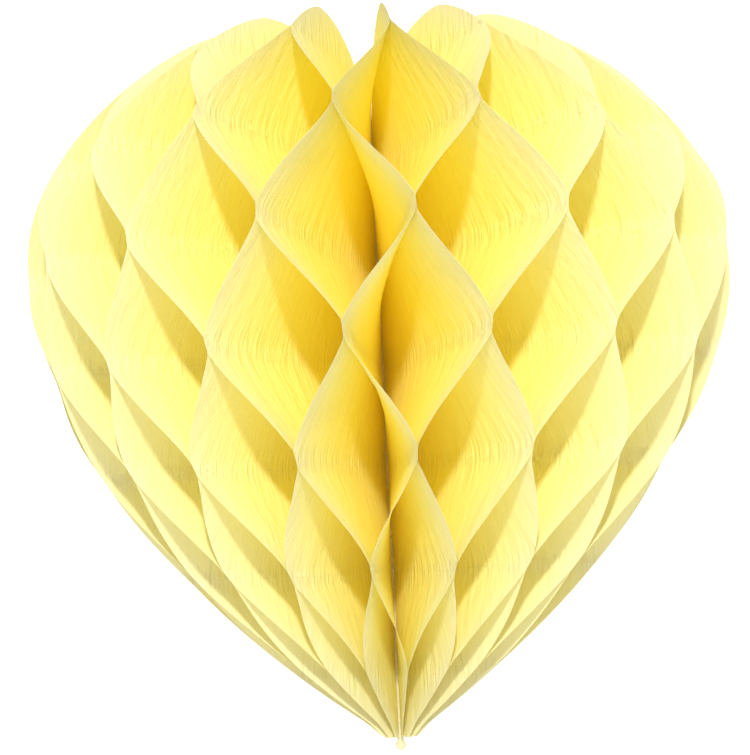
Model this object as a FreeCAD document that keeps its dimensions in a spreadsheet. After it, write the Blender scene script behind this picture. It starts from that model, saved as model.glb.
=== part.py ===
import FreeCAD, Part
import math
import os

# Honeycomb tissue heart, hung by the top of its spine.
# Frame: millimetres, +Z up along the spine, origin at the hanging point on top of
# the spine, the seam between the two cover boards toward +Y. Below, a height
# called a rise is measured upward from the heart's lower tip.

os.makedirs("parts", exist_ok=True)
doc = FreeCAD.newDocument("HoneycombHeart")

SIZES = [
    # the half-heart outline: radius from the spine, rise above the tip
    ("tip_drop", 271, "lower tip below the hanging point"),
    ("tip_slope", 60, "angle between the spine and the outline at the tip, degrees"),
    ("tip_pull", 55, "length of the outline's tangent at the tip"),
    ("girth_radius", 151.6, "greatest radius"),
    ("girth_rise", 209, "rise of the greatest radius"),
    ("girth_pull_down", 93, "tangent length below the greatest radius"),
    ("girth_pull_up", 48, "tangent length above the greatest radius"),
    ("lobe_radius", 62, "radius of the lobe's crest"),
    ("lobe_rise", 302, "rise of the lobe's crest"),
    ("lobe_pull_out", 21, "tangent length outside the crest"),
    ("lobe_pull_in", 32, "tangent length inside the crest"),
    ("dimple_rise", 266, "rise of the spine's upper end"),
    ("dimple_slope", 62, "angle between the outline and level at the dimple, degrees"),
    ("dimple_pull", 18, "tangent length at the dimple"),
    # the tissue leaves
    ("leaf_count", 33, "zigzag leaves round the spine"),
    ("leaf_thick", 0.2, "one leaf with its glue"),
    ("glue_gap", 0.1, "leaf face to the glue plane it is stuck on"),
    ("leaf_start", 2.6, "inner edge of a leaf from the axis"),
    ("glue_flat", 6, "height of one glue line"),
    ("row_pitch", 43, "height from one glue row to the next"),
    ("low_row_rise", 28.7, "rise of the lowest glue row inside the outline"),
    # boards, tabs and spine
    ("board_thick", 0.6, "cover board"),
    ("board_start", 10, "straight edge of a board from the axis"),
    ("seam_gap", 0.3, "board face to board face when the heart is open"),
    ("tab_thick", 0.2, "adhesive tab"),
    ("tab_tall", 14, "height of an adhesive tab"),
    ("tab_long", 60, "length of an adhesive tab outward"),
    ("tab_start", 50, "inner end of the tabs from the axis"),
    ("tab_low_rise", 118, "rise of the lower tab"),
    ("tab_mid_rise", 172, "rise of the middle tab"),
    ("tab_top_rise", 226, "rise of the upper tab"),
    ("cord_radius", 1.5, "spine cord"),
    ("knot_radius", 2.3, "knots at the ends of the spine cord"),
]

dims = doc.addObject("Spreadsheet::Sheet", "dims")
for row, (alias, value, note) in enumerate(SIZES, start=1):
    dims.set(f"A{row}", note)
    dims.set(f"B{row}", str(value))
    dims.setAlias(f"B{row}", alias)
doc.recompute()


def size(alias):
    return float(getattr(dims, alias))




def bind(item, **formulas):
    """Bind properties of a document object to the sheet; __ stands for a dot."""
    for name, formula in formulas.items():
        item.setExpression(name.replace("__", "."), formula)


# ---------------------------------------------------------------- outline
def half_heart_face():
    """Half of a heart in the XZ plane: x is the radius, z the height."""
    drop = size("tip_drop")

    def at(radius, rise):
        return FreeCAD.Vector(radius, 0, rise - drop)

    tip_angle = math.radians(size("tip_slope"))
    dip_angle = math.radians(size("dimple_slope"))
    girth = size("girth_radius")
    girth_rise = size("girth_rise")
    crest = size("lobe_radius")
    crest_rise = size("lobe_rise")
    dip_rise = size("dimple_rise")
    tip_pull = size("tip_pull")
    dip_pull = size("dimple_pull")
    flank = [
        at(0, 0),
        at(tip_pull * math.sin(tip_angle), tip_pull * math.cos(tip_angle)),
        at(girth, girth_rise - size("girth_pull_down")),
        at(girth, girth_rise),
    ]
    shoulder = [
        at(girth, girth_rise),
        at(girth, girth_rise + size("girth_pull_up")),
        at(crest + size("lobe_pull_out"), crest_rise),
        at(crest, crest_rise),
    ]
    dimple = [
        at(crest, crest_rise),
        at(crest - size("lobe_pull_in"), crest_rise),
        at(dip_pull * math.cos(dip_angle), dip_rise + dip_pull * math.sin(dip_angle)),
        at(0, dip_rise),
    ]
    edges = []
    for poles in (flank, shoulder, dimple):
        curve = Part.BezierCurve()
        curve.setPoles(poles)
        edges.append(curve.toShape())
    edges.append(Part.makeLine(at(0, dip_rise), at(0, 0)))
    return Part.Face(Part.Wire(edges))


half_heart = doc.addObject("Part::Feature", "HalfHeart")
half_heart.Shape = half_heart_face()

heart_form = doc.addObject("Part::Revolution", "HeartForm")
heart_form.Source = half_heart
heart_form.Axis = FreeCAD.Vector(0, 0, 1)
heart_form.Base = FreeCAD.Vector(0, 0, 0)
heart_form.Angle = 360
heart_form.Solid = True

# ---------------------------------------------------------------- zigzag leaves
# A leaf keeps to its own sector between two glue planes. It is flat on one
# plane along one glue row and flat on the other plane along the next row.
FIRST_ROW = -1
LAST_ROW = 7


def leaf_section(name, side, rise, gap, start):
    """Level strip of a leaf, flat beside the glue plane on the given side."""
    strip = doc.addObject("Part::Plane", name)
    turn = f"({side} * 180 / dims.leaf_count)"
    if side > 0:
        across = f"(-({gap}) - dims.leaf_thick)"
    else:
        across = f"({gap})"
    bind(
        strip,
        Length=f"dims.girth_radius + 12 - {start}",
        Width="dims.leaf_thick",
        Placement__Base__x=f"{start} * cos({turn} * 1deg) - {across} * sin({turn} * 1deg)",
        Placement__Base__y=f"{start} * sin({turn} * 1deg) + {across} * cos({turn} * 1deg)",
        Placement__Base__z=f"{rise} - dims.tip_drop",
        Placement__Rotation__Angle=turn,
    )
    return strip


def leaf_form(name, first_side, low_gap, high_gap, start):
    """One zigzag leaf about the +X direction, trimmed to the half heart.

    first_side is the plane met on even rows; low_gap and high_gap are the
    distances kept from the plane below and above the leaf in azimuth.
    """
    sections = []
    for row in range(FIRST_ROW, LAST_ROW + 1):
        side = first_side if row % 2 == 0 else -first_side
        gap = high_gap if side > 0 else low_gap
        for end in (-0.5, 0.5):
            rise = f"(dims.low_row_rise + {row} * dims.row_pitch + {end} * dims.glue_flat)"
            sections.append(leaf_section(f"{name}Row{len(sections)}", side, rise, gap, start))
    sheet = doc.addObject("Part::Loft", f"{name}Sheet")
    sheet.Sections = sections
    sheet.Ruled = True
    sheet.Solid = True
    trimmed = doc.addObject("Part::Common", name)
    trimmed.Base = sheet
    trimmed.Tool = heart_form
    return trimmed


SEAM_HALF = "(dims.seam_gap / 2 + dims.board_thick + dims.leaf_thick + 2 * dims.glue_gap)"
odd_form = leaf_form("OddLeaf", 1, "dims.glue_gap", "dims.glue_gap", "dims.leaf_start")
even_form = leaf_form("EvenLeaf", -1, "dims.glue_gap", "dims.glue_gap", "dims.leaf_start")
first_form = leaf_form("FirstLeaf", 1, SEAM_HALF, "dims.glue_gap", "dims.board_start")
last_form = leaf_form("LastLeaf", 1, "dims.glue_gap", SEAM_HALF, "dims.board_start")
doc.recompute()

nodes = []


def node(item, label):
    """Name a finished sub-part for its file."""
    item.Label = label
    nodes.append(item)
    return item


leaf_total = int(size("leaf_count"))
for number in range(1, leaf_total + 1):
    if number == 1:
        form = first_form
    elif number == leaf_total:
        form = last_form
    elif number % 2 == 1:
        form = odd_form
    else:
        form = even_form
    leaf = doc.addObject("Part::Feature", f"Leaf{number}")
    leaf.Shape = form.Shape.copy()
    leaf.Placement = FreeCAD.Placement()
    bind(leaf, Placement__Rotation__Angle=f"90 + ({number} - 0.5) * 360 / dims.leaf_count")
    node(leaf, f"tissue_leaf_{number:02d}")


# ---------------------------------------------------------------- boards and cover leaves
def seam_sheet(name, label, offset, thick):
    """Half heart standing on the seam plane, offset sideways, cut clear of the spine."""
    blank = doc.addObject("Part::Extrusion", f"{name}Blank")
    blank.Base = half_heart
    blank.DirMode = "Custom"
    blank.Dir = FreeCAD.Vector(0, 1, 0)
    blank.Solid = True
    bind(blank, LengthFwd=thick)
    bind(blank, Placement__Base__y=offset)
    relief = doc.addObject("Part::Box", f"{name}Relief")
    bind(
        relief,
        Length="2 * dims.board_start",
        Width="10",
        Height="dims.lobe_rise + 20",
        Placement__Base__x="-dims.board_start",
        Placement__Base__y="-5",
        Placement__Base__z="-dims.tip_drop - 10",
    )
    cut = doc.addObject("Part::Cut", f"{name}Cut")
    cut.Base = blank
    cut.Tool = relief
    doc.recompute()
    piece = doc.addObject("Part::Feature", name)
    piece.Shape = cut.Shape.copy()
    piece.Placement = FreeCAD.Placement(FreeCAD.Vector(), FreeCAD.Rotation(FreeCAD.Vector(0, 0, 1), 90))
    return node(piece, label)


BOARD_IN = "dims.seam_gap / 2"
COVER_IN = "(dims.seam_gap / 2 + dims.board_thick + dims.glue_gap)"
seam_sheet("BoardA", "cover_board_a", BOARD_IN, "dims.board_thick")
seam_sheet("BoardB", "cover_board_b", f"-{BOARD_IN} - dims.board_thick", "dims.board_thick")
seam_sheet("CoverA", "cover_leaf_a", COVER_IN, "dims.leaf_thick")
seam_sheet("CoverB", "cover_leaf_b", f"-{COVER_IN} - dims.leaf_thick", "dims.leaf_thick")

# ---------------------------------------------------------------- adhesive tabs
for place in ("low", "mid", "top"):
    tab = doc.addObject("Part::Box", f"Tab_{place}")
    bind(
        tab,
        Length="dims.tab_thick",
        Width="dims.tab_long",
        Height="dims.tab_tall",
        Placement__Base__x="-dims.tab_thick / 2",
        Placement__Base__y="dims.tab_start",
        Placement__Base__z=f"dims.tab_{place}_rise - dims.tip_drop",
    )
    node(tab, f"adhesive_tab_{place}")

# ---------------------------------------------------------------- spine cord
strand = doc.addObject("Part::Cylinder", "Strand")
bind(
    strand,
    Radius="dims.cord_radius",
    Height="dims.tip_drop - dims.knot_radius",
    Placement__Base__z="-dims.tip_drop",
)
upper_knot = doc.addObject("Part::Sphere", "UpperKnot")
bind(upper_knot, Radius="dims.knot_radius", Placement__Base__z="-dims.knot_radius")
lower_knot = doc.addObject("Part::Sphere", "LowerKnot")
bind(lower_knot, Radius="dims.knot_radius", Placement__Base__z="-dims.tip_drop - dims.knot_radius / 2")
knots = doc.addObject("Part::Fuse", "SpineAndUpperKnot")
knots.Base = strand
knots.Tool = upper_knot
spine = doc.addObject("Part::Fuse", "SpineCord")
spine.Base = knots
spine.Tool = lower_knot
node(spine, "spine_cord")

# ---------------------------------------------------------------- checks and files
doc.recompute()
for item in doc.Objects:
    if "Invalid" in item.State or "Error" in item.State:
        raise RuntimeError(f"{item.Name} failed: {item.State}")
for item in nodes:
    if item.Shape.isNull() or not item.Shape.isValid():
        raise RuntimeError(f"{item.Label} has no valid shape")
    item.Shape.exportStep(f"parts/{item.Label}.step")
    print(item.Label, len(item.Shape.Solids), round(item.Shape.Volume, 2))
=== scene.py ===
import math

import bpy
import numpy as np
from mathutils import Matrix, Vector


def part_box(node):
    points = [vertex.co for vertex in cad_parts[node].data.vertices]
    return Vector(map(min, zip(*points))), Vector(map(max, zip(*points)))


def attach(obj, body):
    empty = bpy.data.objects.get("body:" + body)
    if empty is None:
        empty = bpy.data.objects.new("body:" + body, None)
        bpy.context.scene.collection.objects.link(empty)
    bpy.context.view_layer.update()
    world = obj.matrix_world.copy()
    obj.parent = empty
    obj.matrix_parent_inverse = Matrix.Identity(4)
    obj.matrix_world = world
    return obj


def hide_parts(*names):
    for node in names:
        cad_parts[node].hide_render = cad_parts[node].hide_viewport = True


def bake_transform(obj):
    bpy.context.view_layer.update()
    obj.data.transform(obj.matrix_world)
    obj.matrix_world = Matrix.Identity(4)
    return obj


bl_info = {
    "name": "Honeycomb Tissue Heart",
    "version": (1, 0, 0),
    "blender": (4, 5, 0),
    "location": "View3D > Sidebar > Heart",
    "description": "Builds a hanging honeycomb heart of glued tissue leaves on its packed frame",
    "category": "Object",
}

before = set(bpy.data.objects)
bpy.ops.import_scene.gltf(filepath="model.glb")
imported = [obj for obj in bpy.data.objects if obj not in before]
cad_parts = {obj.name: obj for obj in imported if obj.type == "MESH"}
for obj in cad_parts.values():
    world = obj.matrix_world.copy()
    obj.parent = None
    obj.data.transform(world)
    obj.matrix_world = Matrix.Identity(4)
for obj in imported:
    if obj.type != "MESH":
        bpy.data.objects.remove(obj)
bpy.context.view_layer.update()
LEAVES = sorted(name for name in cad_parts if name.startswith("tissue_leaf_"))
SECTOR = 2 * math.pi / len(LEAVES)
SPINE_LOW, SPINE_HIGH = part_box("spine_cord")

BANDS = 6  # bands in a leaf, one for each row interval
FLAT_SHARE = 0.065  # part of a row interval, at each end, that lies flat on the glue line
CUT_ABOVE_TIP = 0.0012  # width of a leaf where it is cut off above the tip
CUT_BELOW_CREST = 0.0001  # how far a leaf stops short of the crest
BOARD_KEEP = 0.00108  # distance of the end leaves from the seam plane, past board and cover leaf
COVER_OFFSET = 0.00095  # middle of a cover leaf from the seam plane
UV_SCALE = 10  # UV units in a metre of paper
ROWS, END_ROWS = 25, 40  # rows of points in a band, and in the lowest and highest band
COLUMNS = 56  # columns of points in a leaf
ROW_RIM, COLUMN_RIM = 0.0025, 0.0015  # place of the extra row and column inside a sheet's rim

# how far the outline's Bezier curves are pulled, in metres, and its slopes at tip and dimple
TIP_PULL, TIP_SLOPE = 0.055, math.radians(60)
GIRTH_PULL_DOWN, GIRTH_PULL_UP = 0.093, 0.048
LOBE_PULL_OUT, LOBE_PULL_IN = 0.021, 0.032
DIMPLE_PULL, DIMPLE_SLOPE = 0.018, math.radians(62)

STRAIGHT, EASED = 0.72, 0.28  # parts of a zigzag's run that are straight and rounded
DROOP_AZIMUTH, DROOP_WIDTH = 4.05, 0.35  # radians: where lobes hang lower, and over what breadth
DROOP_RISE, DROOP_RUN = 0.24, 0.05  # height at which the droop sets in, and over what height
DROOP = 1.6  # depth of the droop, in parts of the unevenness
CRINKLE_START = 0.02  # distance from the inner edge over which crinkles grow
TUFT_HEIGHT = 0.0045  # height over which the crumpled tips fade
GLUE_FADE = 0.0025  # half breadth of the glue line as the glue field shows it
NEAR_FADE = 0.009  # the same for the gathered strip beside it
# painted shade: the tissue's colour deepens over this distance inside a cell
PAINTED_SHADE_FADE = 0.028  # distance inside a cell over which the colour deepens

SKY_STRENGTH = 0.85
FLOOR_LEVEL, FLOOR_FRONT, FLOOR_RUN = -0.48, -2.5, 4.5  # height, front edge and length of the level part
FLOOR_HALF = 4  # half the floor's breadth
BEND = 1.0  # radius of the turn from floor to wall
WALL_HEIGHT = 2.5
CAMERA_HEIGHT = -0.2018
CAMERA_PITCH, CAMERA_ROLL = math.radians(5.94), math.radians(-2.79)
CAMERA_SHIFT = (-0.0112, 0.0097333333)  # in parts of the frame's width
BOUNCES, PAPER_BOUNCES = 56, 48  # light bounces in all, and off or through paper


# ---------------------------------------------------------------- settings
class HeartShape(bpy.types.PropertyGroup):
    """Sizes of the heart, in metres."""

    tip_drop: bpy.props.FloatProperty(
        name="Tip drop", description="Lower tip below the hanging point", default=0.271, unit="LENGTH"
    )
    girth_radius: bpy.props.FloatProperty(
        name="Girth radius", description="Greatest radius of a leaf", default=0.1516, unit="LENGTH"
    )
    girth_rise: bpy.props.FloatProperty(
        name="Girth rise", description="Height of the greatest radius above the tip",
        default=0.209, unit="LENGTH",
    )
    crest_radius: bpy.props.FloatProperty(
        name="Crest radius", description="Radius of the lobe's crest", default=0.062, unit="LENGTH"
    )
    crest_rise: bpy.props.FloatProperty(
        name="Crest rise", description="Height of the lobe's crest above the tip",
        default=0.302, unit="LENGTH",
    )
    dimple_rise: bpy.props.FloatProperty(
        name="Dimple rise", description="Height of the spine's upper end above the tip",
        default=0.266, unit="LENGTH",
    )
    row_pitch: bpy.props.FloatProperty(
        name="Row pitch", description="Height from one glue row to the next", default=0.043, unit="LENGTH"
    )
    low_row_rise: bpy.props.FloatProperty(
        name="Low row rise", description="Height of the lowest glue row above the tip",
        default=0.0287, unit="LENGTH",
    )
    leaf_start: bpy.props.FloatProperty(
        name="Leaf start", description="Inner edge of a leaf from the axis", default=0.0026, unit="LENGTH"
    )
    board_start: bpy.props.FloatProperty(
        name="Board start", description="Straight edge of a board from the axis",
        default=0.010, unit="LENGTH",
    )
    paper_thickness: bpy.props.FloatProperty(
        name="Paper thickness", description="Thickness of the tissue as shown",
        default=0.00004, unit="LENGTH",
    )
    wrinkle: bpy.props.FloatProperty(
        name="Wrinkle", description="Height of the crinkles in the tissue", default=0.0008, unit="LENGTH"
    )
    tuft: bpy.props.FloatProperty(
        name="Tuft", description="How far the tips crumple outward", default=0.0035, unit="LENGTH"
    )
    unevenness: bpy.props.FloatProperty(
        name="Unevenness", description="How far glue lines wander from their true place",
        default=0.0016, unit="LENGTH",
    )


class HeartColours(bpy.types.PropertyGroup):
    """Colours of the heart's finishes."""

    tissue: bpy.props.FloatVectorProperty(
        name="Tissue", description="Colour of the tissue", subtype="COLOR", size=3,
        default=(0.905, 0.878, 0.60),
    )
    tissue_deep: bpy.props.FloatVectorProperty(
        name="Tissue deep", description="Tissue where its fibres lie thick", subtype="COLOR", size=3,
        default=(0.835, 0.79, 0.47),
    )
    # painted shade: the deep saturated yellow that light gathers over many bounces inside the cells,
    # painted into the tissue's colour
    tissue_painted_shade: bpy.props.FloatVectorProperty(
        name="Tissue painted shade", description="Tissue deep inside a cell", subtype="COLOR", size=3,
        default=(0.9995, 0.964, 0.34),
    )
    tissue_through: bpy.props.FloatVectorProperty(
        name="Tissue through", description="Light that passes through the tissue", subtype="COLOR", size=3,
        default=(0.9995, 0.966, 0.45),
    )
    card: bpy.props.FloatVectorProperty(
        name="Card", description="Colour of the cover boards", subtype="COLOR", size=3,
        default=(0.93, 0.86, 0.50),
    )
    tape: bpy.props.FloatVectorProperty(
        name="Tape", description="Colour of the adhesive tabs", subtype="COLOR", size=3,
        default=(0.90, 0.88, 0.80),
    )
    thread: bpy.props.FloatVectorProperty(
        name="Thread", description="Colour of the spine cord", subtype="COLOR", size=3,
        default=(0.86, 0.78, 0.45),
    )


class HeartStage(bpy.types.PropertyGroup):
    """Floor, lights and camera."""

    floor: bpy.props.FloatVectorProperty(
        name="Floor", description="Colour of the floor", subtype="COLOR", size=3, default=(0.92, 0.92, 0.92)
    )
    key_power: bpy.props.FloatProperty(
        name="Key light", description="Power of the small light in front", default=9.6, unit="POWER"
    )
    back_power: bpy.props.FloatProperty(
        name="Back light", description="Power of the light on the wall behind", default=30.0, unit="POWER"
    )
    camera_distance: bpy.props.FloatProperty(
        name="Camera distance", description="Camera from the spine", default=0.80, unit="LENGTH"
    )
    lens: bpy.props.FloatProperty(name="Lens", description="Focal length in millimetres", default=89.27)


# ---------------------------------------------------------------- shader helpers
class Value:
    """A node socket that takes part in Python expressions."""

    def __init__(self, socket):
        self.socket = socket

    def _maths(self, operation, *operands):
        tree = self.socket.id_data
        node = tree.nodes.new("ShaderNodeMath")
        node.operation = operation
        for slot, operand in zip(node.inputs, operands):
            if isinstance(operand, Value):
                tree.links.new(operand.socket, slot)
            else:
                slot.default_value = operand
        return Value(node.outputs[0])

    def __add__(self, other):
        return self._maths("ADD", self, other)

    def __radd__(self, other):
        return self._maths("ADD", other, self)

    def __sub__(self, other):
        return self._maths("SUBTRACT", self, other)

    def __rsub__(self, other):
        return self._maths("SUBTRACT", other, self)

    def __mul__(self, other):
        return self._maths("MULTIPLY", self, other)

    def __rmul__(self, other):
        return self._maths("MULTIPLY", other, self)


class Finish:
    """A material under construction."""

    def __init__(self, name):
        self.material = bpy.data.materials.new(name)
        self.material.use_nodes = True
        self.tree = self.material.node_tree
        self.tree.nodes.clear()

    def node(self, kind, settings=None, output=0, **sockets):
        """Add a node: settings first, then the values or links of its sockets.

        A socket goes by its name with _ for a blank, or by i and its number.
        """
        made = self.tree.nodes.new(kind)
        for key, value in (settings or {}).items():
            setattr(made, key, value)
        for key, value in sockets.items():
            key = key.replace("_", " ")
            numbered = key[0] == "i" and key[1:].isdigit()
            socket = made.inputs[int(key[1:]) if numbered else key]
            if isinstance(value, Value):
                self.tree.links.new(value.socket, socket)
            else:
                socket.default_value = value
        return Value(made.outputs[output])

    def noise(self, where, scale, detail=3.0, roughness=0.5, distortion=0.0):
        return self.node(
            "ShaderNodeTexNoise",
            Vector=where, Scale=scale, Detail=detail, Roughness=roughness, Distortion=distortion,
        )

    def stretched(self, where, scale):
        return self.node("ShaderNodeVectorMath", {"operation": "MULTIPLY"}, i0=where, i1=scale)

    def blend(self, factor, first, second):
        return self.node("ShaderNodeMix", {"data_type": "RGBA"}, output=2, i0=factor, i6=first, i7=second)

    def field(self, name):
        """A number that the mesh carries at each point."""
        return self.node("ShaderNodeAttribute", {"attribute_name": name}, output=2)

    def bump(self, height, distance, strength=1.0):
        return self.node("ShaderNodeBump", Height=height, Distance=distance, Strength=strength)

    def finish(self, shader):
        out = self.tree.nodes.new("ShaderNodeOutputMaterial")
        self.tree.links.new(shader.socket, out.inputs["Surface"])
        return self.material


def opaque(colour):
    return (*colour, 1.0)


def tissue_finish(colours):
    """Thin tissue: cloudy fibre density, fine crinkles and light that passes through.

    Painted shade: the colour deepens toward the inside of a cell, by the field of depth into the cell,
    standing in for the saturated yellow light that many bounces build up there.
    """
    f = Finish("tissue_paper")
    place = f.node("ShaderNodeUVMap", {"uv_map": "paper"})
    glue = f.field("glue")
    cloud = f.noise(place, 5.0, detail=4.0, roughness=0.6)
    fibre = f.noise(f.stretched(place, (1.0, 0.25, 1.0)), 150.0, detail=4.0, roughness=0.7)
    speck = f.noise(place, 260.0, detail=2.0)
    density = cloud * 0.55 + fibre * 0.45
    outside = f.blend(density, opaque(colours.tissue), opaque(colours.tissue_deep))
    # painted shade: toward the inside of a cell the colour blends to the inside tint, in place of light
    # built up over many bounces
    painted_shade_depth = f.field("painted_shade_depth")
    colour = f.blend(painted_shade_depth * 0.95 + cloud * 0.05, outside, opaque(colours.tissue_painted_shade))
    crease = f.noise(f.stretched(place, (1.0, 0.35, 1.0)), 16.0, detail=5.0, roughness=0.6, distortion=0.6)
    near = f.field("near")
    fingers = f.noise(f.stretched(place, (1.0, 0.12, 1.0)), 42.0, detail=2.0, distortion=0.4)
    relief = f.bump(
        crease * 0.8 + fingers * near * 0.9 + glue * 0.22 + fibre * 0.14 + speck * 0.08, 0.0018, 0.6
    )
    paper = f.node(
        "ShaderNodeBsdfPrincipled",
        Base_Color=colour, Roughness=0.9, Specular_IOR_Level=0.1, Normal=relief,
    )
    # partly painted shade: the light let through takes the inside tint with depth into the cell, and in
    # part with the real thickness of the fibres
    painted_shade_and_density = painted_shade_depth * 0.7 + density * 0.3
    tint = f.blend(painted_shade_and_density, opaque(colours.tissue_through), opaque(colours.tissue_painted_shade))
    through = f.node("ShaderNodeBsdfTranslucent", Color=tint, Normal=relief)
    # part of the light that passes through, less where the paper is thick or glued
    share = 0.39 - glue * 0.04 - density * 0.2
    return f.finish(f.node("ShaderNodeMixShader", i0=share, i1=paper, i2=through))


def card_finish(colours):
    """Dull card with pressed fibres."""
    f = Finish("cover_card")
    place = f.node("ShaderNodeTexCoord", output=3)
    pulp = f.noise(place, 60.0, detail=5.0, roughness=0.65)
    grain = f.noise(f.stretched(place, (1.0, 0.3, 1.0)), 900.0, detail=3.0)
    base = colours.card
    darker = tuple(c * 0.82 for c in base)
    colour = f.blend(pulp, opaque(base), opaque(darker))
    relief = f.bump(grain * 0.7 + pulp * 0.3, 0.0003, 0.4)
    rough = 0.7 + pulp * 0.2
    return f.finish(f.node("ShaderNodeBsdfPrincipled", Base_Color=colour, Roughness=rough, Normal=relief))


def tape_finish(colours):
    """Waxed liner over an adhesive tab, with faint mottling."""
    f = Finish("tab_tape")
    place = f.node("ShaderNodeTexCoord", output=3)
    mottle = f.noise(place, 240.0, detail=4.0)
    base = colours.tape
    colour = f.blend(mottle, opaque(base), opaque(tuple(c * 0.88 for c in base)))
    rough = 0.3 + mottle * 0.2
    relief = f.bump(mottle, 0.0002, 0.3)
    return f.finish(f.node("ShaderNodeBsdfPrincipled", Base_Color=colour, Roughness=rough, Normal=relief))


def thread_finish(colours):
    """Spun cotton: fine fibres along the strands."""
    f = Finish("spine_thread")
    place = f.node("ShaderNodeTexCoord", output=3)
    lint = f.noise(f.stretched(place, (1.0, 1.0, 0.2)), 1800.0, detail=3.0)
    base = colours.thread
    colour = f.blend(lint, opaque(base), opaque(tuple(c * 0.7 for c in base)))
    relief = f.bump(lint, 0.0003, 0.6)
    return f.finish(f.node("ShaderNodeBsdfPrincipled", Base_Color=colour, Roughness=0.9, Normal=relief))


# ---------------------------------------------------------------- mesh helpers
def grid_piece(name, points, material, uv=None, fields=None, closed_round=False):
    """Make an object from a rows x columns grid of points, in quads.

    closed_round joins the last column to the first, for a tube.
    """
    rows, columns = points.shape[:2]
    index = np.arange(rows * columns).reshape(rows, columns)
    if closed_round:
        index = np.hstack([index, index[:, :1]])
    quads = np.stack([index[:-1, :-1], index[:-1, 1:], index[1:, 1:], index[1:, :-1]], -1).reshape(-1, 4)
    mesh = bpy.data.meshes.new(name)
    mesh.vertices.add(rows * columns)
    mesh.vertices.foreach_set("co", points.reshape(-1).astype(np.float32))
    mesh.loops.add(quads.size)
    mesh.loops.foreach_set("vertex_index", quads.reshape(-1).astype(np.int32))
    mesh.polygons.add(len(quads))
    mesh.polygons.foreach_set("loop_start", (np.arange(len(quads)) * 4).astype(np.int32))
    mesh.update(calc_edges=True)
    mesh.polygons.foreach_set("use_smooth", np.ones(len(quads), bool))
    if uv is not None:
        layer = mesh.uv_layers.new(name="paper")
        layer.data.foreach_set("uv", uv.reshape(-1, 2)[quads.reshape(-1)].reshape(-1).astype(np.float32))
    for field, values in (fields or {}).items():
        data = mesh.attributes.new(field, "FLOAT", "POINT").data
        data.foreach_set("value", values.reshape(-1).astype(np.float32))
    mesh.materials.append(material)
    mesh.validate()
    piece = bpy.data.objects.new(name, mesh)
    bpy.context.scene.collection.objects.link(piece)
    return piece


def give_thickness(piece, thickness):
    """Thicken a sheet evenly to both sides and close its rim."""
    wall = piece.modifiers.new("wall", "SOLIDIFY")
    wall.thickness = thickness
    wall.offset = 0.0
    wall.use_rim = True


def bezier(poles, count=240):
    """Points of a cubic Bezier curve through the first and last pole."""
    t = np.linspace(0.0, 1.0, count)[:, None]
    a, b, c, d = (np.array(p, float) for p in poles)
    return (1 - t) ** 3 * a + 3 * (1 - t) ** 2 * t * b + 3 * (1 - t) * t**2 * c + t**3 * d


def outline(shape):
    """Outer and inner edge of a leaf as radius and rise.

    The outer edge runs from the tip by way of the girth to the crest, the inner
    edge from the spine's upper end up the dimple to the crest.
    """
    girth, girth_rise = shape.girth_radius, shape.girth_rise
    crest, crest_rise, dip = shape.crest_radius, shape.crest_rise, shape.dimple_rise
    flank = bezier([
        (0, 0),
        (TIP_PULL * math.sin(TIP_SLOPE), TIP_PULL * math.cos(TIP_SLOPE)),
        (girth, girth_rise - GIRTH_PULL_DOWN),
        (girth, girth_rise),
    ])
    shoulder = bezier([
        (girth, girth_rise),
        (girth, girth_rise + GIRTH_PULL_UP),
        (crest + LOBE_PULL_OUT, crest_rise),
        (crest, crest_rise),
    ])
    dimple = bezier([
        (0, dip),
        (DIMPLE_PULL * math.cos(DIMPLE_SLOPE), dip + DIMPLE_PULL * math.sin(DIMPLE_SLOPE)),
        (crest - LOBE_PULL_IN, crest_rise),
        (crest, crest_rise),
    ])
    return np.vstack([flank, shoulder[1:]]), dimple


def spread(count, close):
    """Even steps from 0 to 1 with one more just inside each end, which keeps a sheet's rim crisp."""
    even = np.linspace(0.0, 1.0, count)
    return np.concatenate([[0.0, close], even[1:-1], [1.0 - close, 1.0]])


def ease(t):
    """Smooth step: level at both ends, t * t * (3 - 2 t)."""
    t = np.clip(t, 0.0, 1.0)
    return t * t * (3.0 - 2.0 * t)


def stride(t):
    """Run from 0 to 1 between the glue rows: held level over each glue line, nearly straight between."""
    u = np.clip((t - FLAT_SHARE) / (1.0 - 2.0 * FLAT_SHARE), 0.0, 1.0)
    return STRAIGHT * u + EASED * ease(u)


def wander(azimuth, rise, amount):
    """Slow shifts of the whole heart as a few waves round and up it.

    Gives the change of radius and height; neighbours share them, so glued
    rows stay together. The lobes at the front left hang lower by a bell curve
    of the azimuth that sets in near the crest.
    """
    out = np.sin(2 * azimuth + 17 * rise + 0.6) + 0.7 * np.sin(5 * azimuth - 31 * rise + 2.1)
    up = np.sin(3 * azimuth + 23 * rise + 1.7) + 0.6 * np.sin(7 * azimuth + 12 * rise)
    bell = np.exp(-(((azimuth - DROOP_AZIMUTH) / DROOP_WIDTH) ** 2))
    up = up - DROOP * bell * ease((rise - DROOP_RISE) / DROOP_RUN)
    return amount * out, amount * 0.8 * up


def cut_rise(shape, start):
    """Height above the tip at which a leaf that starts at this radius begins."""
    outer, _ = outline(shape)
    return float(np.interp(start + CUT_ABOVE_TIP, outer[:, 0], outer[:, 1]))


def leaf_edges(shape, start, rise):
    """Inner and outer radius of a leaf at each height."""
    outer, inner = outline(shape)
    edge = np.interp(rise, outer[:, 1], outer[:, 0])
    hollow = np.where(rise > shape.dimple_rise, np.interp(rise, inner[:, 1], inner[:, 0]), 0.0)
    return np.maximum(hollow, start), edge


def flat_area(first, edge, rise):
    """Area between the two edges, as strips from height to height."""
    return float(np.sum((edge - first)[:-1, 0] * np.diff(rise[:, 0])))


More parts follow.
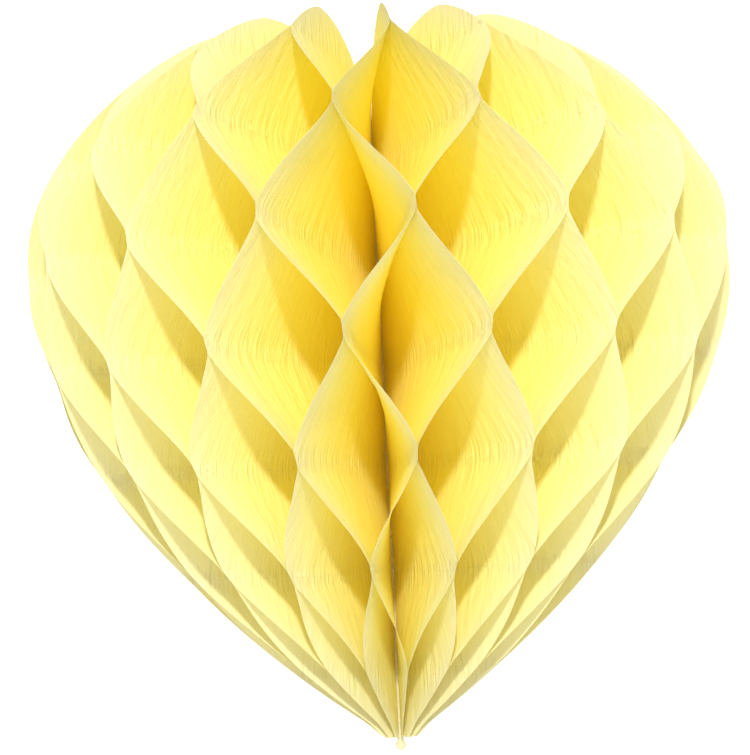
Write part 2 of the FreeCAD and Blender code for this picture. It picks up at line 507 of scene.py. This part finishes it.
def leaf_band(shape, number, band):
    """Grid of one band of a zigzag leaf, from one glue row to the next.

    A point stands at the azimuth middle - side * SECTOR * (stride(t) - 1/2),
    t being its height within the band from 0 to 1. Crinkles push it sideways
    by sums of sines of radius and height that die out at the glue rows and
    shrink toward the spine. Gives the points, UVs, fields, flat size, flat area and the
    heights of the two rows.
    """
    rng = np.random.default_rng(1000 * number + band)
    lowest, highest = band == 0, band == BANDS - 1
    low = shape.low_row_rise + band * shape.row_pitch
    high = low + shape.row_pitch
    start = shape.board_start if number in (1, len(LEAVES)) else shape.leaf_start
    bottom = cut_rise(shape, start) if lowest else low
    top = shape.crest_rise - CUT_BELOW_CREST if highest else high
    step = spread(END_ROWS if lowest or highest else ROWS, ROW_RIM)[:, None]
    if highest:
        # closer together toward the crest, where the edge turns fastest
        step = 1.0 - (1.0 - step) ** 2
    rise = bottom + (top - bottom) * step
    first, edge = leaf_edges(shape, start, rise)
    across = spread(COLUMNS, COLUMN_RIM)[None, :]
    radius = first + (edge - first) * across
    rise = np.broadcast_to(rise, radius.shape)
    t = (rise - low) / shape.row_pitch
    # odd leaves meet the plane above them in azimuth on even rows
    side = 1.0 if (number + band) % 2 == 1 else -1.0
    swing = -side * (stride(t) - 0.5)
    middle = math.pi / 2 + (number - 0.5) * SECTOR
    azimuth = middle + SECTOR * swing
    # distance kept from the glue plane, larger beside the boards
    keep_low = BOARD_KEEP if number == 1 else shape.paper_thickness
    keep_high = BOARD_KEEP if number == len(LEAVES) else shape.paper_thickness
    aside = np.where(swing < 0, keep_low, -keep_high) * np.abs(2 * swing)
    # crinkles: reach is 0 on the glue rows and 1 midway, beside is greatest a little off a row
    reach = np.clip(t, 0, 1) * (1 - np.clip(t, 0, 1)) * 4
    beside = np.sqrt(reach) * np.exp(-2.2 * reach)
    crinkle = np.zeros_like(radius)
    for wave in range(4):
        length = rng.uniform(0.007, 0.018)
        lean = rng.uniform(-0.35, 0.35)
        phase = rng.uniform(0, 2 * math.pi)
        crinkle += np.sin(2 * math.pi * (radius + lean * rise) / length + phase) / 4
    slow = np.sin(2 * math.pi * radius / rng.uniform(0.05, 0.09) + rng.uniform(0, 6.3))
    # in step with the radius, as the folded leaves lie closer together toward the spine
    grow = np.clip((radius - first) / CRINKLE_START, 0, 1) * radius / shape.girth_radius
    aside = aside + shape.wrinkle * grow * (1.6 * beside * crinkle + 0.45 * reach * slow)
    more_out, more_up = wander(azimuth, rise, shape.unevenness)
    share = (radius / shape.girth_radius) ** 1.5
    radius = radius + more_out * share
    if lowest:
        # the tips crumple outward where the cord gathers them
        gather = np.exp(-(((rise - bottom) / TUFT_HEIGHT) ** 2)) * (0.7 + 0.3 * math.sin(2.4 * number))
        radius = radius + shape.tuft * gather * across
    height = rise + more_up * share - shape.tip_drop
    x = radius * np.cos(azimuth) - aside * np.sin(azimuth)
    y = radius * np.sin(azimuth) + aside * np.cos(azimuth)
    points = np.stack([x, y, height], -1)
    # each leaf has its own stretch of the paper's pattern
    uv = np.stack([radius * UV_SCALE + 3.1 * number, rise * UV_SCALE + 1.7 * number], -1)
    # fields: the glue line, the gathered strip beside it, and the depth inside the cell's open edge, which
    # the tissue finish turns into painted shade
    from_row = np.minimum(np.abs(t), np.abs(1 - t)) * shape.row_pitch
    inward = np.clip(edge - (first + (edge - first) * across), 0, None)
    fields = {
        "glue": np.exp(-((from_row / GLUE_FADE) ** 2)),
        "near": np.exp(-((from_row / NEAR_FADE) ** 2)),
        "painted_shade_depth": 1.0 - np.exp(-inward / PAINTED_SHADE_FADE),
    }
    flat_size = (float((edge - first).max()), float(top - bottom))
    return points, uv, fields, flat_size, flat_area(first, edge, rise), (low, high)


def tissue_material(context):
    """The tissue finish, made once. The frame has a material of its own called tissue."""
    return bpy.data.materials.get("tissue_paper") or tissue_finish(context.scene.heart_colours)


# ---------------------------------------------------------------- operators
class HEART_OT_tissue_leaves(bpy.types.Operator):
    """Zigzag tissue leaves, in bands from glue row to glue row"""

    bl_idname = "heart.tissue_leaves"
    bl_label = "Tissue Leaves"

    def execute(self, context):
        shape = context.scene.heart_shape
        tissue = tissue_material(context)
        for number, leaf in enumerate(LEAVES, start=1):
            for band in range(BANDS):
                points, uv, fields, size, area, rows = leaf_band(shape, number, band)
                piece = grid_piece(f"{leaf}_band_{band + 1}", points, tissue, uv, fields)
                give_thickness(piece, shape.paper_thickness)
                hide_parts(leaf)
                ends = [(0, 0, row - shape.tip_drop) for row in rows]
                # a band turns from the plane it leaves toward the plane it meets
                if (number + band) % 2 == 1:
                    ends.reverse()
                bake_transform(piece)
                min(area, 0.999 * size[0] * size[1])
        return {"FINISHED"}


class HEART_OT_cover_leaves(bpy.types.Operator):
    """Flat end leaves, glued down on the boards"""

    bl_idname = "heart.cover_leaves"
    bl_label = "Cover Leaves"

    def execute(self, context):
        shape = context.scene.heart_shape
        tissue = tissue_material(context)
        bottom = cut_rise(shape, shape.board_start)
        # closer together toward the crest
        step = 1.0 - (1.0 - np.linspace(0.0, 1.0, 140)[:, None]) ** 1.6
        for name, body, side in (("cover_leaf_a", "seam_side", -1.0), ("cover_leaf_b", "leaf_33", 1.0)):
            rise = bottom + (shape.crest_rise - CUT_BELOW_CREST - bottom) * step
            first, edge = leaf_edges(shape, shape.board_start, rise)
            radius = first + (edge - first) * np.linspace(0.0, 1.0, COLUMNS)[None, :]
            rise = np.broadcast_to(rise, radius.shape)
            ripple = 0.00004 * np.sin(radius * 610 + 4 * np.sin(rise * 90)) * np.sin(rise * 330)
            x = side * (COVER_OFFSET + ripple)
            points = np.stack([x, radius, rise - shape.tip_drop], -1)
            uv = np.stack([radius * UV_SCALE + 7 * side, rise * UV_SCALE], -1)
            fields = {
                "glue": np.full(radius.shape, 0.3),
                "near": np.full(radius.shape, 0.1),
                # a faint even painted shade on the flat cover leaves
                "painted_shade_depth": np.full(radius.shape, 0.1),
            }
            piece = grid_piece(f"{name}_sheet", points, tissue, uv, fields)
            give_thickness(piece, shape.paper_thickness)
            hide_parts(name)
            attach(piece, body)
        return {"FINISHED"}


class HEART_OT_boards(bpy.types.Operator):
    """Cover boards in dull card"""

    bl_idname = "heart.boards"
    bl_label = "Cover Boards"

    def execute(self, context):
        card = card_finish(context.scene.heart_colours)
        for name in ("cover_board_a", "cover_board_b"):
            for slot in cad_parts[name].material_slots:
                slot.material = card
        return {"FINISHED"}


class HEART_OT_tabs(bpy.types.Operator):
    """Adhesive tabs between the boards"""

    bl_idname = "heart.tabs"
    bl_label = "Adhesive Tabs"

    def execute(self, context):
        tape = tape_finish(context.scene.heart_colours)
        for place in ("low", "mid", "top"):
            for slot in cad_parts[f"adhesive_tab_{place}"].material_slots:
                slot.material = tape
        return {"FINISHED"}


class HEART_OT_spine(bpy.types.Operator):
    """Three-strand spine cord with its knots"""

    bl_idname = "heart.spine"
    bl_label = "Spine Cord"

    def execute(self, context):
        thread = thread_finish(context.scene.heart_colours)
        low, high = SPINE_LOW.z, SPINE_HIGH.z
        # a tube whose radius swells over three strands that climb as a helix,
        # and over the two knots as half circles
        z = np.linspace(low, high, 900)[:, None]
        angle = np.linspace(0, 2 * math.pi, 24, endpoint=False)[None, :]
        knot = 0.0023
        core, swell, twist = 0.00132, 0.00018, 0.009
        middle_top, middle_low = high - knot, low + knot
        strand = core + swell * np.cos(3 * (angle - 2 * math.pi * z / twist))
        bulb = np.maximum(
            np.sqrt(np.clip(knot**2 - (z - middle_top) ** 2, 0, None)),
            np.sqrt(np.clip(knot**2 - (z - middle_low) ** 2, 0, None)),
        )
        lump = 1 - 0.08 * (1 + np.sin(2 * angle + z * 1900))
        cord = (z > middle_low) & (z < middle_top)
        radius = np.maximum(np.where(cord, strand, 0.0), bulb * lump)
        points = np.stack([radius * np.cos(angle), radius * np.sin(angle), z + 0 * angle], -1)
        piece = grid_piece("spine_cord_strands", points, thread, closed_round=True)
        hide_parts("spine_cord")
        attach(piece, "seam_side")
        return {"FINISHED"}


class HEART_OT_stage(bpy.types.Operator):
    """Pale floor, soft light and the camera"""

    bl_idname = "heart.stage"
    bl_label = "Stage"

    def execute(self, context):
        scene = context.scene
        look = scene.heart_stage
        f = Finish("pale_floor")
        place = f.node("ShaderNodeTexCoord", output=3)
        haze = f.noise(place, 3.0)
        colour = f.blend(haze * 0.2, opaque(look.floor), opaque(tuple(c * 0.97 for c in look.floor)))
        floor_look = f.finish(f.node("ShaderNodeBsdfPrincipled", Base_Color=colour, Roughness=0.9))
        # a floor that turns up into a wall behind: level, a quarter round, upright
        along = np.linspace(0, 1, 60)
        turn = np.clip((along - 0.6) / 0.2, 0, 1) * math.pi / 2
        bend_start = FLOOR_FRONT + FLOOR_RUN
        y = np.where(along < 0.6, FLOOR_FRONT + along / 0.6 * FLOOR_RUN, bend_start + BEND * np.sin(turn))
        upright = np.clip((along - 0.8) / 0.2, 0, 1) * WALL_HEIGHT
        z = FLOOR_LEVEL + BEND - BEND * np.cos(turn) + upright
        x = np.linspace(-FLOOR_HALF, FLOOR_HALF, 9)[:, None]
        points = np.stack([x + 0 * y[None, :], y[None, :] + 0 * x, z[None, :] + 0 * x], -1)
        floor = grid_piece("floor", points, floor_look)

        world = bpy.data.worlds.new("soft_white")
        world.use_nodes = True
        sky = world.node_tree.nodes["Background"]
        sky.inputs["Color"].default_value = (1.0, 1.0, 1.0, 1.0)
        sky.inputs["Strength"].default_value = SKY_STRENGTH
        scene.world = world

        for name, place, aim, size, power in (
            ("key", (0.0, -1.1, 0.18), (0, 0, -0.13), 0.06, look.key_power),
            ("wall_light", (0.0, 0.9, 1.3), (0, 2.7, -0.2), 1.0, look.back_power),
        ):
            lamp = bpy.data.lights.new(name, "AREA")
            lamp.shape = "DISK"
            lamp.size = size
            lamp.energy = power
            light = bpy.data.objects.new(name, lamp)
            scene.collection.objects.link(light)
            way = np.array(aim, float) - np.array(place, float)
            light.location = place
            light.rotation_euler = direction(way)

        lens = bpy.data.cameras.new("camera")
        lens.sensor_fit = "HORIZONTAL"
        lens.sensor_width = 36.0
        lens.lens = look.lens
        lens.clip_start = 0.05
        camera = bpy.data.objects.new("camera", lens)
        scene.collection.objects.link(camera)
        camera.location = (0, -look.camera_distance, CAMERA_HEIGHT)
        camera.matrix_world = camera_matrix(camera.location, CAMERA_PITCH, CAMERA_ROLL)
        lens.shift_x, lens.shift_y = CAMERA_SHIFT
        scene.camera = camera
        scene.view_settings.view_transform = "Standard"
        # light goes from leaf to leaf many times inside the cells
        scene.cycles.max_bounces = BOUNCES
        scene.cycles.diffuse_bounces = PAPER_BOUNCES
        scene.cycles.transmission_bounces = PAPER_BOUNCES
        return {"FINISHED"}


def direction(way):
    """Turn that points a light's -Z along way."""
    return Vector(way).to_track_quat("-Z", "Y").to_euler()


def camera_matrix(place, pitch, roll):
    """A camera that looks along +Y, tipped up by pitch and turned about its own line of sight."""
    look_ahead = Matrix.Rotation(math.pi / 2 + pitch, 4, "X")
    return Matrix.Translation(place) @ look_ahead @ Matrix.Rotation(roll, 4, "Z")


class HEART_PT_parts(bpy.types.Panel):
    """Buttons that build the heart"""

    bl_idname = "HEART_PT_parts"
    bl_label = "Honeycomb Heart"
    bl_space_type = "VIEW_3D"
    bl_region_type = "UI"
    bl_category = "Heart"

    def draw(self, context):
        for operator in OPERATORS:
            self.layout.operator(operator.bl_idname)


GROUPS = (HeartShape, HeartColours, HeartStage)
OPERATORS = (
    HEART_OT_tissue_leaves,
    HEART_OT_cover_leaves,
    HEART_OT_boards,
    HEART_OT_tabs,
    HEART_OT_spine,
    HEART_OT_stage,
)


def register():
    for group in GROUPS:
        bpy.utils.register_class(group)
    bpy.types.Scene.heart_shape = bpy.props.PointerProperty(type=HeartShape)
    bpy.types.Scene.heart_colours = bpy.props.PointerProperty(type=HeartColours)
    bpy.types.Scene.heart_stage = bpy.props.PointerProperty(type=HeartStage)
    for operator in OPERATORS:
        bpy.utils.register_class(operator)
    bpy.utils.register_class(HEART_PT_parts)


def unregister():
    bpy.utils.unregister_class(HEART_PT_parts)
    for operator in reversed(OPERATORS):
        bpy.utils.unregister_class(operator)
    del bpy.types.Scene.heart_stage
    del bpy.types.Scene.heart_colours
    del bpy.types.Scene.heart_shape
    for group in reversed(GROUPS):
        bpy.utils.unregister_class(group)


def main():
    register()
    bpy.ops.heart.tissue_leaves()
    bpy.ops.heart.cover_leaves()
    bpy.ops.heart.boards()
    bpy.ops.heart.tabs()
    bpy.ops.heart.spine()
    bpy.ops.heart.stage()


if __name__ == "__main__":
    main()
